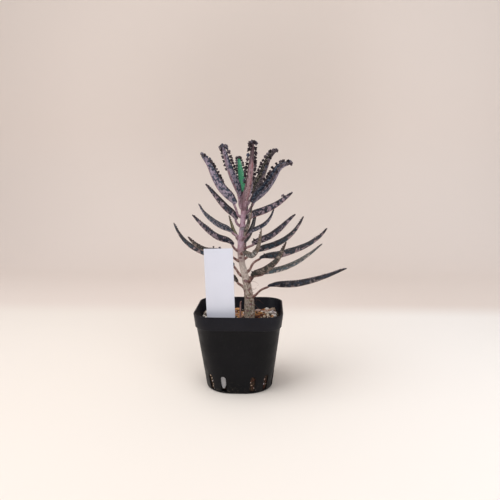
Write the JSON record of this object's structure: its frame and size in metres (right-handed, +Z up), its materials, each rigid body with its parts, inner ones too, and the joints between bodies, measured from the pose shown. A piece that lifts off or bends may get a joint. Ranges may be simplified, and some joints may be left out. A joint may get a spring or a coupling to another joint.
{
  "type": "potted mother of thousands",
  "caption": "Potted mother of thousands: a bare leaning stem with folded, toothed, blotched leaves edged with plantlets, in a square black nursery pot of gritty mix with a plant label.",
  "frame": {"origin": "centre of the pot's underside, where it rests", "axes": "+Z up along the plant; the pot's sides lie along X and Y, and the side with the plant label faces -Y"},
  "size_m": [0.1795, 0.1155, 0.2496],
  "materials": {
    "pot": "satin black",
    "soil": "rough, matte",
    "pumice": "porous, matte",
    "bark_chip": "rough, matte",
    "label": "satin white",
    "stem": "dull, mottled bark, mauve near the top",
    "leaf": "waxy, mauve-grey with blue-black blotches"
  },
  "bodies": {
    "root": {"pot": "pot", "potting_mix": "soil", "plant_label": "label", "stem": "stem", "leaf_01": "leaf", "leaf_02": "leaf", "leaf_03": "leaf", "leaf_04": "leaf", "leaf_05": "leaf", "leaf_06": "leaf", "leaf_07": "leaf", "leaf_08": "leaf", "leaf_09": "leaf", "leaf_10": "leaf", "leaf_11": "leaf", "leaf_12": "leaf", "leaf_13": "leaf", "leaf_14": "leaf", "leaf_15": "leaf", "leaf_16": "leaf", "leaf_17": "leaf", "leaf_18": "leaf", "leaf_19": "leaf", "leaf_20": "leaf", "leaf_21": "leaf", "leaf_22": "leaf", "leaf_23": "leaf", "leaf_24": "leaf", "leaf_25": "leaf", "leaf_26": "leaf", "leaf_27": "leaf", "leaf_28": "leaf", "leaf_29": "leaf", "pumice_01": "pumice", "pumice_02": "pumice", "pumice_03": "pumice", "pumice_04": "pumice", "pumice_05": "pumice", "pumice_06": "pumice", "pumice_07": "pumice", "pumice_08": "pumice", "bark_chip_09": "bark_chip", "bark_chip_10": "bark_chip", "bark_chip_11": "bark_chip", "bark_chip_12": "bark_chip", "bark_chip_13": "bark_chip"}
  },
  "joints": []
}
